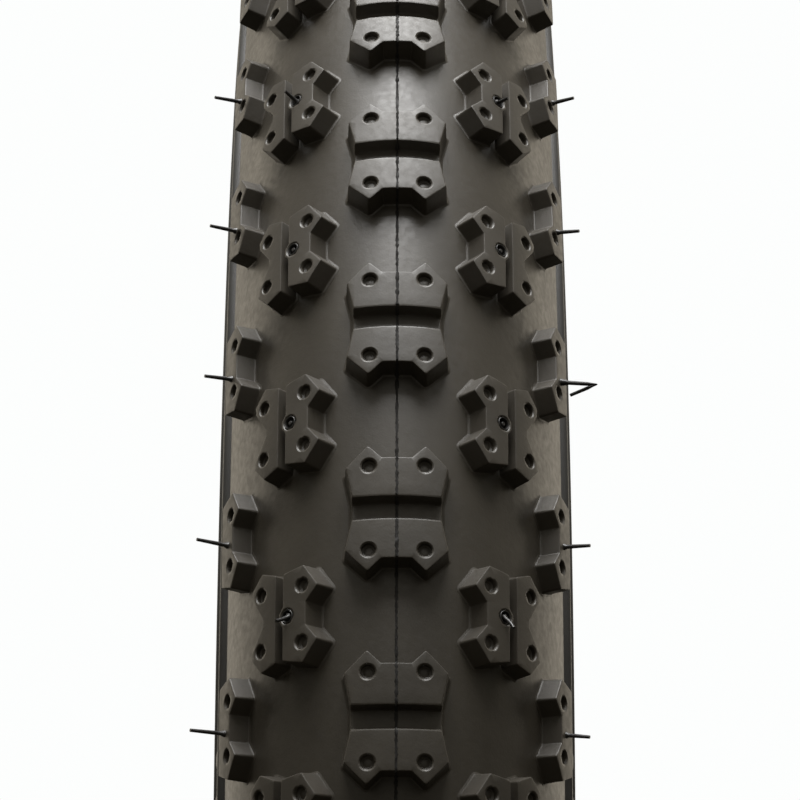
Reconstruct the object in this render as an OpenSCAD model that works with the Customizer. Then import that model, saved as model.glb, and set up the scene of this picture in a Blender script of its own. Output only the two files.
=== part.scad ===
// Bicycle tyre with a block tread, 20 inch, ETRTO 57-406.
// Millimetres. The origin is the wheel's centre, +Y is the axis that the wheel spins about, +Z is up.
// Left is -Y and right is +Y, as seen by someone who stands in front of the tyre at +X.

/* [Overall size] */
// Diameter of the bead seat, where the tyre sits on the rim
bead_seat_d = 406; // [300:1:560]
// Height of the section, from the bead seat to the tops of the centre blocks
section_h = 57; // [45:0.5:70]
// Width of the casing at its widest, over the plies
casing_w = 55; // [45:0.5:70]
// Height of the widest line above the bead seat
widest_h = 12.5; // [10:0.5:18]

/* [Casing] */
// Thickness of one ply of rubbered cord
ply_t = 0.4; // [0.3:0.05:0.7]
// Where the ends of the plies stop, in degrees round the section from the crown
turnup_end = 80; // [80:1:84]
// Rubber between the plies and their turned-up ends
ply_gap = 0.1; // [0.05:0.05:0.3]
// Slope of the plies where they meet the bead, in degrees
bead_slope = 52; // [40:1:60]

/* [Beads] */
// Diameter of one turn of bead wire
wire_d = 0.8; // [0.5:0.05:1]
// Gap between neighbouring turns of wire
wire_gap = 0.04; // [0.02:0.01:0.1]
// Rubber between the bundle of wires and the plies
wrap_t = 0.4; // [0.2:0.05:0.8]
// Thickness of the chafer strip
chafer_t = 0.45; // [0.3:0.05:0.8]
// Where the chafer meets the sidewall, in degrees round the section from the crown
chafer_top = 116; // [110:1:122]

/* [Sidewall] */
// Thickness of the sidewall rubber
side_t = 0.7; // [0.5:0.05:1.2]
// Height of the raised rings on the sidewall
ring_h = 0.6; // [0.3:0.05:1]
// Height of the raised bars on the sidewall
bar_h = 0.3; // [0.2:0.05:0.6]
// Number of groups of bars round one sidewall
bar_groups = 6; // [2:1:12]
// Number of bars in a group
bars_in_group = 9; // [3:1:14]

/* [Tread] */
// Thickness of the tread base at the crown
base_crown_t = 1.8; // [1:0.1:3]
// Thickness of the tread base at its edges
base_edge_t = 1.2; // [0.8:0.1:2]
// Number of times the block pattern repeats round the tyre
pitches = 48; // [36:1:56]
// Height of the centre blocks
centre_h = 4; // [2.5:0.1:5]
// Height of the intermediate blocks
mid_h = 3.6; // [2.5:0.1:5]
// Height of the shoulder blocks
shoulder_h = 3.5; // [2.5:0.1:5]
// Width of the groove across a centre block
groove_w = 3.7; // [2:0.1:5]
// Depth of the groove across a centre block
groove_d = 2.4; // [1:0.1:2.4]
// Width of the slit between the halves of an intermediate block
slit_w = 1.6; // [1:0.1:2]
// Diameter of the dimples in the blocks
dimple_d = 2.3; // [1:0.1:2.6]
// Depth of the dimples
dimple_depth = 1; // [0.4:0.1:1.4]

/* [Vents and flash] */
// Diameter of the round vent bosses
vent_d = 2.7; // [2:0.1:3.2]
// Diameter of the rubber hairs that the vents leave
spew_d = 0.55; // [0.4:0.05:1]
// Length of the hairs on the shoulder blocks
shoulder_spew_l = 6.5; // [2:0.5:8]
// Length of the hairs on the vent bosses
vent_spew_l = 3; // [1:0.5:5]
// Intermediate blocks from one hair to the next
spew_every = 3; // [1:1:6]
// Width of the flash line round the middle
flash_w = 0.3; // [0.2:0.05:0.6]
// Height of the flash line
flash_h = 0.25; // [0.1:0.05:0.5]

/* [Hidden] */

seat_r = bead_seat_d / 2;
top_r = seat_r + section_h;
widest_r = seat_r + widest_h;
pitch_a = 360 / pitches;

// The outside of the casing: a half ellipse from the crown to the widest line, then an arc to the bead.
casing_a = casing_w / 2;
casing_b = section_h - centre_h - base_crown_t - widest_h;

// The bundle of seven wires, the rubber round it, and the foot of the bead round that.
wire_pitch = wire_d + wire_gap;
wrap_r = 1.5 * wire_d + wire_gap + wrap_t;
plies_r = wrap_r + 2 * ply_t;
foot_r = plies_r + chafer_t;
bead_r = seat_r + foot_r;
bead_a = 90 + bead_slope;
lower_r = (widest_r - bead_r) / sin(bead_slope) - wrap_r;
bead_y = casing_a - lower_r * (1 - cos(bead_slope)) + wrap_r * cos(bead_slope);

// The tread runs to tread_a each side of the crown. Its outside is straight between these stations, so the
// middle one is a plain cylinder, and no block ends just past a station.
tread_a = 75;
tread_stations = [6, 19, 29, 39, 49, 60, 68, tread_a];
crown_station = tread_stations[0];

// Steps between the stations of the casing, and round the bead
tread_step = 8.5;
turn_step = 6;
bead_arc_step = 15;
toe_a = 196;

// Rows of blocks: the degrees round the section of each row, and its shift in pitches.
mid_a = 33;
mid_shift = -0.475;
shoulder_a = 54.5;
shoulder_shift = 0.056;

// Outlines as [across, along] in the plane of the row, one end and one side at a time.
centre_notch = [2.4, 8.5];
centre_peak = [4.6, 10.6];
centre_corner = [8.15, 7];
centre_waist = [7.1, 2.05];
centre_dimple = [4.45, 7.1];
inner_end = [-4.8, 8];
inner_tip = [-7.5, 4.4];
inner_notch = [-5.4, 1.9];
inner_slit_end = 7.15;
inner_dimple = [-4.6, 4.65];
vent_at = -1.8;
vent_seat = 1.6;
vent_proud = 0.1;
outer_end = [4.1, 8.2];
outer_tip = [6.6, 5.6];
outer_flank = [6.4, 4.2];
outer_notch = [3.8, 0.7];
outer_slit_end = 7.2;
outer_dimple = [4.2, 4.6];
shoulder_corner = [3.6, 7];
shoulder_end = [-0.45, 8.3];
shoulder_tip = [-2.9, 4.6];
shoulder_notch = [-0.9, 2.2];
shoulder_dimple = [0, 4.4];
shoulder_spew_at = 0.9;

// How far the prisms that cut the blocks out reach past them, and the angle of the ring they are cut from.
reach = 6;
block_l = 24;
block_a = block_l / top_r * 180 / PI;

ring_fn = 180;
small_fn = 24;

rubber = [0.16, 0.16, 0.15];
tread_rubber = [0.2, 0.19, 0.17];
cord = [0.42, 0.36, 0.27];
steel = [0.72, 0.62, 0.42];
fabric = [0.25, 0.25, 0.24];

// ---- The section ----
// A point of the section is [radius, across]. Round the section, a is 0 at the crown and 90 at the widest line.

function smooth(x) = let(k = min(1, max(0, x))) k * k * (3 - 2 * k);

function steps(a0, a1, step) =
    let(n = max(1, round(abs(a1 - a0) / step))) [for (i = [0:n]) a0 + (a1 - a0) * i / n];

function all_but_last(list) = [for (i = [0:len(list) - 2]) list[i]];

// Every layer of the casing and the sidewall has its corners at these angles, so that they meet face to face
casing_stations = concat(
    all_but_last(steps(0, tread_a, tread_step)),
    all_but_last(steps(tread_a, turnup_end, turn_step)),
    all_but_last(steps(turnup_end, 90, turn_step)),
    all_but_last(steps(90, chafer_top, turn_step)),
    steps(chafer_top, bead_a, turn_step)
);

// Angles this close are the same
tiny_a = 0.001;
function between(a, a0, a1) = a > a0 - tiny_a && a < a1 + tiny_a;

function stations(a0, a1) = [for (a = casing_stations) if (between(a, a0, a1)) a];

function across(a) = a <= 90 ? casing_a * sin(a) : casing_a - lower_r * (1 - cos(a - 90));

function radius(a) = a <= 90 ? widest_r + casing_b * cos(a) : widest_r - lower_r * sin(a - 90);

// The angle of the outward normal, 0 along the radius and 90 along the axis
function tilt(a) = a <= 90 ? atan2(casing_b * sin(a), casing_a * cos(a)) : a;

// The point at a, moved out along the normal by d
function at(a, d) = [radius(a) + d * cos(tilt(a)), across(a) + d * sin(tilt(a))];

// The room that the bead takes between the plies and their turned-up ends
function bead_gap(a) = ply_gap + (2 * wrap_r - ply_gap) * smooth((a - 90) / bead_slope);

function base_t(a) = base_crown_t + (base_edge_t - base_crown_t) * pow(a / tread_a, 2);

// The outside of the sidewall, which swells to cover the ends of the plies
ply_ramp_a = 60;
ply_ramp_l = 25;
function side_out(a) = side_t + 2 * ply_t * smooth((a - ply_ramp_a) / ply_ramp_l) + bead_gap(a);

function round_bead(a, r) = [bead_r + r * sin(a), bead_y + r * cos(a)];

// The line of a ply from the crown round the bead and up again, d away from the bead
function ply_line(d) = concat(
    all_but_last([for (a = stations(0, bead_a)) at(a, -d)]),
    all_but_last([for (b = steps(180 - bead_slope, 360 - bead_slope, bead_arc_step))
        round_bead(b, wrap_r + d)]),
    [for (a = reversed(stations(turnup_end, bead_a))) at(a, bead_gap(a) + d)]
);

function reversed(list) = [for (i = [len(list) - 1:-1:0]) list[i]];

function mirrored(list) = [for (p = list) [p[0], -p[1]]];

function off_crown(line) = [for (p = line) if (p[1] > 0) p];

// A closed strip on both sides of the crown, between two lines that start near the crown
function strip(line_a, line_b) = concat(
    line_a, reversed(line_b), mirrored(off_crown(line_b)), reversed(mirrored(off_crown(line_a)))
);

// A line on both sides of the crown, from the left to the right
function both_sides(line) = concat(reversed(mirrored(line)), line);

// The outside of the tread base, raised by h, at its stations between two angles
function tread_line(a0, a1, h) =
    [for (a = tread_stations) if (between(a, a0, a1)) at(a, base_t(a) + h)];

// ---- Shared shapes ----

module ring(points) {
    rotate([-90, 0, 0])
        rotate_extrude($fn = ring_fn)
            polygon(points);
}

// A piece of ring, angle degrees long, with its middle on +X
module ring_piece(points, angle) {
    rotate([-90, 0, 0])
        rotate([0, 0, -angle / 2])
            rotate_extrude(angle = angle, $fn = ring_fn)
                polygon(points);
}

module on_side(side) {
    mirror([0, side < 0 ? 1 : 0, 0])
        children();
}

module every_pitch(shift, every = 1) {
    for (i = [0:every:pitches - 1])
        rotate([0, -(i + shift) * pitch_a, 0])
            children();
}

// Moves a shape drawn as [across, along, up] onto the tread base at a
module on_tread(a) {
    foot = at(a, base_t(a));
    translate([foot[0], foot[1], 0])
        rotate([0, 0, tilt(a)])
            rotate([90, 0, 90])
                children();
}

// A block: its outline in the plane of the row at a, cut off by the tread base below and by a top that is
// flat along the tyre, less what children() draws. The lines are the tread's, at three heights.
module block(a, foot, top, far, outline) {
    difference() {
        intersection() {
            ring_piece(concat(foot, reversed(far)), block_a);
            translate([0, 0, -block_l / 2])
                linear_extrude(height = block_l)
                    polygon(concat([for (p = foot) [p[0] - reach, p[1]]], reversed(top)));
            on_tread(a)
                translate([0, 0, -reach])
                    linear_extrude(height = 3 * reach)
                        polygon(outline);
        }
        children();
    }
}

// A block between two stations of one side of the tread
module side_block(a, a0, a1, h, outline) {
    block(a, tread_line(a0, a1, 0), tread_line(a0, a1, h), tread_line(a0, a1, h + reach), outline)
        children();
}

// Top of a block of height h over the point u across from the middle of the row at a
function block_top(a, h, u) =
    let(foot = at(a, base_t(a)), c = cos(tilt(a)), s = sin(tilt(a)))
    let(up = [for (p = tread_line(0, tread_a, h)) p - foot])
    lookup(a == 0 ? abs(u) : u, [for (p = up) [p[1] * c - p[0] * s, p[0] * c + p[1] * s]]);

module dimples(a, h, place) {
    on_tread(a)
        for (along = [-1, 1])
            translate([place[0], along * place[1], block_top(a, h, place[0]) - dimple_depth])
                cylinder(d = dimple_d, h = reach, $fn = small_fn);
}

// An outline from the points of its one end, repeated at the other end
function two_ends(points) = concat(points, reversed([for (p = points) [p[0], -p[1]]]));

// ---- Casing and beads ----

module inner_ply() {
    color(cord) ring(strip(ply_line(2 * ply_t), ply_line(ply_t)));
}

module outer_ply() {
    color(cord) ring(strip(ply_line(ply_t), ply_line(0)));
}

// The seven turns of one bead: one in the middle and six round it
module wires() {
    for (k = [0:6]) {
        out = k == 0 ? 0 : wire_pitch;
        translate([bead_r + out * cos(60 * k), bead_y + out * sin(60 * k)])
            circle(d = wire_d, $fn = small_fn);
    }
}

module bead_wire(side) {
    color(steel)
        on_side(side)
            rotate([-90, 0, 0])
                rotate_extrude($fn = ring_fn)
                    wires();
}

module bead_wrap(side) {
    round_part = [for (b = steps(180 - bead_slope, 360 - bead_slope, bead_arc_step))
        round_bead(b, wrap_r)];
    inside = all_but_last([for (a = stations(turnup_end, bead_a)) at(a, 0)]);
    outside = all_but_last([for (a = stations(turnup_end, bead_a)) at(a, bead_gap(a))]);
    color(rubber)
        on_side(side)
            rotate([-90, 0, 0])
                rotate_extrude($fn = ring_fn)
                    difference() {
                        polygon(concat(round_part, reversed(outside), inside));
                        wires();
                    }
}

// The chafer: round the foot of the bead, with a flat seat for the rim
module chafer(side) {
    heel = at(bead_a, side_out(bead_a));
    chafer_arc = reversed(steps(180 - bead_slope, 360 - bead_slope, bead_arc_step));
    inside = concat(
        all_but_last([for (a = stations(chafer_top, bead_a)) at(a, bead_gap(a) + 2 * ply_t)]),
        [for (b = chafer_arc) round_bead(b, plies_r)]
    );
    outside = concat(
        [for (b = steps(180 - bead_slope, toe_a, bead_arc_step)) round_bead(b, foot_r)],
        [[seat_r, round_bead(toe_a, foot_r)[1] + chafer_t], [seat_r, heel[1]]],
        reversed(all_but_last([for (a = stations(chafer_top, bead_a)) at(a, side_out(a))]))
    );
    color(fabric) on_side(side) ring(concat(inside, outside));
}

// ---- Sidewalls ----

// A raised ring with sloping sides on the sidewall, half_w degrees each way from a
function raised_ring(a, half_w, h) = [
    at(a - half_w, side_out(a - half_w)),
    at(a - half_w / 2, side_out(a) + h),
    at(a + half_w / 2, side_out(a) + h),
    at(a + half_w, side_out(a + half_w))
];

edge_ring_a = tread_a + 2.8;
edge_ring_w = 1.2;
rim_ring_a = 101;
rim_ring_w = 2.5;
edge_groove_w = 1.3;

module sidewall(side) {
    outside = concat(
        [for (a = [tread_a, tread_a + edge_groove_w]) at(a, side_t / 2)],
        raised_ring(edge_ring_a, edge_ring_w, ring_h),
        [for (a = stations(turnup_end, rim_ring_a - rim_ring_w)) at(a, side_out(a))],
        raised_ring(rim_ring_a, rim_ring_w, ring_h),
        [for (a = stations(rim_ring_a + rim_ring_w, chafer_top)) at(a, side_out(a))]
    );
    inside = concat(
        [for (a = reversed(stations(turnup_end, chafer_top))) at(a, bead_gap(a) + 2 * ply_t)],
        [for (a = reversed(stations(tread_a, turnup_end))) at(a, 0)]
    );
    color(rubber) on_side(side) ring(concat(outside, inside));
}

// Plain raised bars, in groups, between the two rings of the sidewall
bar_arc = 0.7;
bar_pitch_a = 1.9;

module sidewall_bars(side) {
    foot = [for (a = stations(turnup_end, 90)) at(a, side_out(a))];
    top = [for (a = stations(turnup_end, 90)) at(a, side_out(a) + bar_h)];
    color(rubber)
        on_side(side)
            for (g = [0:bar_groups - 1], i = [0:bars_in_group - 1])
                rotate([0, -g * 360 / bar_groups - i * bar_pitch_a, 0])
                    ring_piece(concat(foot, reversed(top)), bar_arc);
}

// ---- Tread ----

module tread_base() {
    foot = [for (a = stations(0, tread_a)) at(a, 0)];
    color(tread_rubber) ring(strip(tread_line(0, tread_a, 0), foot));
}

// Stations that the layers of the blocks run between
centre_limit = 29;
mid_a0 = crown_station;
mid_a1 = 60;
shoulder_a0 = 39;
shoulder_a1 = 68;

module centre_blocks() {
    one_side = two_ends([centre_notch, centre_peak, centre_corner, centre_waist]);
    other_side = reversed([for (p = one_side) [-p[0], p[1]]]);
    foot = both_sides(tread_line(0, centre_limit, 0));
    top = both_sides(tread_line(0, centre_limit, centre_h));
    far = both_sides(tread_line(0, centre_limit, centre_h + reach));
    color(tread_rubber)
        every_pitch(0)
            block(0, foot, top, far, concat(one_side, other_side)) {
                on_tread(0)
                    translate([-block_l / 2, -groove_w / 2, centre_h - groove_d])
                        cube([block_l, groove_w, reach]);
                for (side = [-1, 1])
                    dimples(0, centre_h, [side * centre_dimple[0], centre_dimple[1]]);
            }
}

// The floor of the blind hole that a vent boss sits in
function vent_floor() = block_top(mid_a, mid_h, vent_at) - vent_seat;

module vent_hole() {
    on_tread(mid_a)
        translate([vent_at, 0, vent_floor()])
            cylinder(d = vent_d, h = reach, $fn = small_fn);
}

module inner_blocks(side) {
    outline = two_ends([[-slit_w / 2, inner_slit_end], inner_end, inner_tip, inner_notch]);
    color(tread_rubber)
        on_side(side)
            every_pitch(mid_shift)
                side_block(mid_a, mid_a0, mid_a1, mid_h, outline) {
                    dimples(mid_a, mid_h, inner_dimple);
                    vent_hole();
                }
}

module outer_blocks(side) {
    outline = two_ends([
        [slit_w / 2, outer_slit_end], outer_end, outer_tip, outer_flank, outer_notch
    ]);
    color(tread_rubber)
        on_side(side)
            every_pitch(mid_shift)
                side_block(mid_a, mid_a0, mid_a1, mid_h, outline)
                    dimples(mid_a, mid_h, outer_dimple);
}

module shoulder_blocks(side) {
    outline = two_ends([shoulder_corner, shoulder_end, shoulder_tip, shoulder_notch]);
    color(tread_rubber)
        on_side(side)
            every_pitch(shoulder_shift)
                side_block(shoulder_a, shoulder_a0, shoulder_a1, shoulder_h, outline)
                    dimples(shoulder_a, shoulder_h, shoulder_dimple);
}

// ---- Vents and flash ----

// A round boss in the hole of an inner block, with a sunk ring round its middle
vent_ring_wall = 0.45;
vent_core_d = 0.9;
vent_sink = 0.8;

module vent_bosses(side) {
    vent_h = vent_seat + vent_proud;
    color(tread_rubber)
        on_side(side)
            every_pitch(mid_shift)
                on_tread(mid_a)
                    translate([vent_at, 0, vent_floor()])
                        difference() {
                            cylinder(d = vent_d, h = vent_h, $fn = small_fn);
                            translate([0, 0, vent_h - vent_sink])
                                difference() {
                                    cylinder(d = vent_d - 2 * vent_ring_wall, h = vent_h,
                                             $fn = small_fn);
                                    cylinder(d = vent_core_d, h = vent_h, $fn = small_fn);
                                }
                        }
}

// A hair over the point u across in the row at a, from the height h
module hair(a, h, u, length) {
    on_tread(a)
        translate([u, 0, h])
            cylinder(d = spew_d, h = length, $fn = small_fn);
}

module vent_spews(side) {
    color(rubber)
        on_side(side)
            every_pitch(mid_shift, spew_every)
                hair(mid_a, vent_floor() + vent_seat + vent_proud, vent_at, vent_spew_l);
}

module shoulder_spews(side) {
    color(rubber)
        on_side(side)
            every_pitch(shoulder_shift)
                hair(shoulder_a, block_top(shoulder_a, shoulder_h, shoulder_spew_at),
                     shoulder_spew_at, shoulder_spew_l);
}

// One length of the flash line, on the surface that is d above the casing
module flash_piece(d, angle) {
    foot = at(crown_station, d)[0];
    ring_piece([
        [foot, -flash_w / 2], [foot, flash_w / 2],
        [foot + flash_h, flash_w / 4], [foot + flash_h, -flash_w / 4]
    ], angle);
}

module mould_flash() {
    block_half_a = asin(centre_notch[1] / top_r);
    groove_half_a = asin(groove_w / 2 / top_r);
    between_a = pitch_a - 2 * asin(centre_notch[1] / (top_r - centre_h));
    color(rubber) {
        every_pitch(0.5)
            flash_piece(base_t(crown_station), between_a);
        every_pitch(0)
            for (end = [-1, 1])
                rotate([0, end * (block_half_a + groove_half_a) / 2, 0])
                    flash_piece(base_t(crown_station) + centre_h, block_half_a - groove_half_a);
    }
}

// ---- Nodes ----

inner_ply();
outer_ply();
bead_wire(-1);  // bead_wire_left
bead_wire(1);  // bead_wire_right
bead_wrap(-1);  // bead_wrap_left
bead_wrap(1);  // bead_wrap_right
chafer(-1);  // chafer_left
chafer(1);  // chafer_right
sidewall(-1);  // sidewall_left
sidewall(1);  // sidewall_right
sidewall_bars(-1);  // sidewall_bars_left
sidewall_bars(1);  // sidewall_bars_right
tread_base();
centre_blocks();
inner_blocks(-1);  // inner_blocks_left
inner_blocks(1);  // inner_blocks_right
outer_blocks(-1);  // outer_blocks_left
outer_blocks(1);  // outer_blocks_right
shoulder_blocks(-1);  // shoulder_blocks_left
shoulder_blocks(1);  // shoulder_blocks_right
vent_bosses(-1);  // vent_bosses_left
vent_bosses(1);  // vent_bosses_right
vent_spews(-1);  // vent_spews_left
vent_spews(1);  // vent_spews_right
shoulder_spews(-1);  // shoulder_spews_left
shoulder_spews(1);  // shoulder_spews_right
mould_flash();
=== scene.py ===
"""The looks of a 20 inch bicycle tyre with a block tread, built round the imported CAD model.

The wheel's centre is the origin, +Y is the axle and +Z is up. Left is -Y. Everything is in metres.
Round the section, an angle is 0 at the crown and 90 at the widest line, in degrees.
"""
import math
import random

import bpy
import numpy as np
from mathutils import Matrix, Vector, geometry


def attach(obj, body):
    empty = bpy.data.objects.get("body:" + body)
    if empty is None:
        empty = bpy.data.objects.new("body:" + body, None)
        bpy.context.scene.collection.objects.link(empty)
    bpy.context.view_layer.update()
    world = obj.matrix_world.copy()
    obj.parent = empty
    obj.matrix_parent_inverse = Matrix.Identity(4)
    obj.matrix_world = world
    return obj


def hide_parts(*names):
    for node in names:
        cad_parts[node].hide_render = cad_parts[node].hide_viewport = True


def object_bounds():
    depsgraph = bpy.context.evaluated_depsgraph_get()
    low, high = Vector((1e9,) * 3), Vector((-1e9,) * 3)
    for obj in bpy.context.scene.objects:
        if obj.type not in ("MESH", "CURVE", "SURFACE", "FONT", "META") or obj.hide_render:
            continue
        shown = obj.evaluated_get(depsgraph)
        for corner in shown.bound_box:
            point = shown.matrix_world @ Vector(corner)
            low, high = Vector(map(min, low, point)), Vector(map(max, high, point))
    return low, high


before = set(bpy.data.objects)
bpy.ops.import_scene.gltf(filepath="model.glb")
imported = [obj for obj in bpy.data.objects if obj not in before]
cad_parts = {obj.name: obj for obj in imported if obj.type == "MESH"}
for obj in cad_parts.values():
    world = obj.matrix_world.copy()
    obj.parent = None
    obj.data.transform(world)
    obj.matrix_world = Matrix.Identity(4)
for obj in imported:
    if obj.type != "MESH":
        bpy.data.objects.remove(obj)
cad_low, cad_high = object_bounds()

MM = 0.001
SIDES = {"left": -1, "right": 1}

# ---- Driving dimensions, the same as the CAD model's ----

SEAT_R = 203 * MM
SECTION_H = 57 * MM
CASING_W = 55 * MM
WIDEST_H = 12.5 * MM
PLY_T = 0.4 * MM
PLY_GAP = 0.1 * MM
BEAD_SLOPE = 52
WIRE_D = 0.8 * MM
WIRE_GAP = 0.04 * MM
WRAP_T = 0.4 * MM
CHAFER_T = 0.45 * MM
CHAFER_TOP = 116
SIDE_T = 0.7 * MM
BASE_CROWN_T = 1.8 * MM
BASE_EDGE_T = 1.2 * MM
PITCHES = 48
CENTRE_H = 4 * MM
MID_H = 3.6 * MM
SHOULDER_H = 3.5 * MM
GROOVE_W = 3.7 * MM
GROOVE_D = 2.4 * MM
DIMPLE_D = 2.3 * MM
DIMPLE_DEPTH = 1.0 * MM
VENT_D = 2.7 * MM
TREAD_A = 75
TURNUP_END = 80
TOE_A = 196
EDGE_RING_A = 77.8
RIM_RING_A = 101
RING_H = 0.6 * MM
BAR_H = 0.3 * MM
VENT_U = -1.8 * MM      # where the vent is in its row, across

WIDEST_R = SEAT_R + WIDEST_H
CASING_A = CASING_W / 2
CASING_B = SECTION_H - CENTRE_H - BASE_CROWN_T - WIDEST_H
WRAP_R = 1.5 * WIRE_D + WIRE_GAP + WRAP_T
PLIES_R = WRAP_R + 2 * PLY_T
FOOT_R = PLIES_R + CHAFER_T
BEAD_R = SEAT_R + FOOT_R
BEAD_A = 90 + BEAD_SLOPE
LOWER_R = (WIDEST_R - BEAD_R) / math.sin(math.radians(BEAD_SLOPE)) - WRAP_R


# ---- The section: points are (radius, across) ----

def smooth(x):
    """0 below 0, 1 above 1 and an S curve between."""
    k = min(1.0, max(0.0, x))
    return k * k * (3 - 2 * k)


def sin_d(a):
    return math.sin(math.radians(a))


def cos_d(a):
    return math.cos(math.radians(a))


BEAD_Y = CASING_A - LOWER_R * (1 - cos_d(BEAD_SLOPE)) + WRAP_R * cos_d(BEAD_SLOPE)


def tilt(a):
    """The angle of the outward normal, 0 along the radius and 90 along the axle."""
    if abs(a) > 90:
        return a
    return math.degrees(math.atan2(CASING_B * sin_d(a), CASING_A * cos_d(a)))


def at(a, d):
    """The point of the casing's outside at a, moved out along the normal by d."""
    if abs(a) <= 90:
        radius, across = WIDEST_R + CASING_B * cos_d(a), CASING_A * sin_d(a)
    else:
        radius = WIDEST_R - LOWER_R * sin_d(a - 90)
        across = CASING_A - LOWER_R * (1 - cos_d(a - 90))
    return radius + d * cos_d(tilt(a)), across + d * sin_d(tilt(a))


def bead_gap(a):
    """The gap between the ply and its turned-up end, which opens up round the bead."""
    return PLY_GAP + (2 * WRAP_R - PLY_GAP) * smooth((a - 90) / BEAD_SLOPE)


def base_t(a):
    """Thickness of the tread base."""
    return BASE_CROWN_T + (BASE_EDGE_T - BASE_CROWN_T) * (a / TREAD_A) ** 2


def side_out(a):
    """How far the outside of the sidewall is from the casing's outside."""
    return SIDE_T + 2 * PLY_T * smooth((a - 60) / 25) + bead_gap(a)


def round_bead(a, r):
    """The point at a round the middle of the right bead, and r from it."""
    return BEAD_R + r * sin_d(a), BEAD_Y + r * cos_d(a)


def mirrored(points):
    """The same points on the other side of the tyre, in the opposite order."""
    return [(radius, -across) for radius, across in reversed(points)]


def steps(start, end, step):
    """Even steps from start to end, both included, each about step long."""
    n = max(1, round(abs(end - start) / step))
    return [start + (end - start) * i / n for i in range(n + 1)]


# ---- Mesh helpers ----

def new_object(name, verts, faces, uvs=None, sharp=None):
    """A smooth-shaded mesh object, with sharp edges where the surface turns by more than sharp degrees."""
    mesh = bpy.data.meshes.new(name)
    mesh.from_pydata([tuple(v) for v in verts], [], faces)
    mesh.validate()
    mesh.shade_smooth()
    if sharp:
        mesh.set_sharp_from_angle(angle=math.radians(sharp))
    if uvs is not None:
        layer = mesh.uv_layers.new(name="surface")
        flat = np.array(uvs, float).reshape(-1, 2)
        layer.data.foreach_set("uv", flat[[i for f in faces for i in f]].ravel())
    mesh.update()
    obj = bpy.data.objects.new(name, mesh)
    bpy.context.scene.collection.objects.link(obj)
    return obj


def finish_piece(obj, node, material):
    obj.data.materials.append(material)
    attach(obj, "root")
    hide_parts(node)


def line_lengths(line):
    """How far along the line each of its points is."""
    total, out = 0.0, [0.0]
    for p, q in zip(line, line[1:]):
        total += math.dist(p, q)
        out.append(total)
    return out


def revolve(name, line, side=1, segments=288, sharp=40):
    """A closed outline of (radius, across) turned round the axle. Its UV map is in metres."""
    n = len(line)
    lengths = line_lengths(line)
    verts, uvs, faces = [], [], []
    for i in range(segments):
        turn = 2 * math.pi * i / segments
        for (radius, across), length in zip(line, lengths):
            verts.append((radius * math.cos(turn), side * across, radius * math.sin(turn)))
            uvs.append((turn * SEAT_R, length))
    for i in range(segments):
        j = (i + 1) % segments
        for k in range(n):
            m = (k + 1) % n
            face = (i * n + k, i * n + m, j * n + m, j * n + k)
            faces.append(face if side > 0 else face[::-1])
    obj = new_object(name, verts, faces, uvs, sharp)
    fix_seam(obj)
    return obj


def fix_seam(obj):
    """Lets the last strip's UVs run on past the full turn, where they would go back to 0."""
    layer = obj.data.uv_layers["surface"]
    uv = np.zeros(len(layer.data) * 2)
    layer.data.foreach_get("uv", uv)
    uv = uv.reshape(-1, 4, 2)
    wide = np.ptp(uv[:, :, 0], axis=1) > math.pi * SEAT_R
    low = uv[:, :, 0] < math.pi * SEAT_R
    uv[:, :, 0] += np.where(wide[:, None] & low, 2 * math.pi * SEAT_R, 0)
    layer.data.foreach_set("uv", uv.ravel())


# ---- Materials ----

def material(name):
    mat = bpy.data.materials.new(name)
    mat.use_nodes = True
    return mat, mat.node_tree.nodes, mat.node_tree.links, mat.node_tree.nodes["Principled BSDF"]


def noise(nodes, links, vector, scale, detail=3.0, rough=0.5):
    tex = nodes.new("ShaderNodeTexNoise")
    tex.inputs["Scale"].default_value = scale
    tex.inputs["Detail"].default_value = detail
    tex.inputs["Roughness"].default_value = rough
    links.new(vector, tex.inputs["Vector"])
    return tex.outputs["Fac"]


def ramp(nodes, links, value, *stops):
    """A colour for each value, through stops of (position, colour)."""
    node = nodes.new("ShaderNodeValToRGB")
    elements = node.color_ramp.elements
    for _ in stops[2:]:
        elements.new(1.0)
    for element, (position, colour) in zip(elements, stops):
        element.position = position
        element.color = (*colour, 1)
    links.new(value, node.inputs["Fac"])
    return node.outputs["Color"]


def spread(nodes, links, value, low, high):
    """The middle of a noise's range, spread from low to high."""
    node = nodes.new("ShaderNodeMapRange")
    node.inputs["From Min"].default_value = 0.3
    node.inputs["From Max"].default_value = 0.7
    node.inputs["To Min"].default_value = low
    node.inputs["To Max"].default_value = high
    links.new(value, node.inputs["Value"])
    return node.outputs["Result"]


def bump(nodes, links, height, distance, normal=None):
    node = nodes.new("ShaderNodeBump")
    node.inputs["Distance"].default_value = distance
    node.inputs["Strength"].default_value = 1.0
    links.new(height, node.inputs["Height"])
    if normal is not None:
        links.new(normal, node.inputs["Normal"])
    return node.outputs["Normal"]


GRAIN = 0.012 * MM      # depth of the rubber's fine grain


def rubber(name, dark, light, roughness):
    """Moulded rubber: a fine grain, faint clouding in its colour and in how matt it is."""
    mat, nodes, links, shader = material(name)
    place = nodes.new("ShaderNodeTexCoord").outputs["Object"]
    cloud = noise(nodes, links, place, 90, 4)
    patch = noise(nodes, links, place, 900, 2)
    fine = noise(nodes, links, place, 3200, 2, 0.6)
    links.new(ramp(nodes, links, cloud, (0.35, dark), (0.7, light)), shader.inputs["Base Color"])
    links.new(spread(nodes, links, patch, roughness - 0.05, roughness + 0.06), shader.inputs["Roughness"])
    pits = bump(nodes, links, patch, GRAIN * 2)
    links.new(bump(nodes, links, fine, GRAIN, pits), shader.inputs["Normal"])
    return mat


WAVE_SPEED = 20         # radians a metre of Blender's wave texture at scale 1


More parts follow.
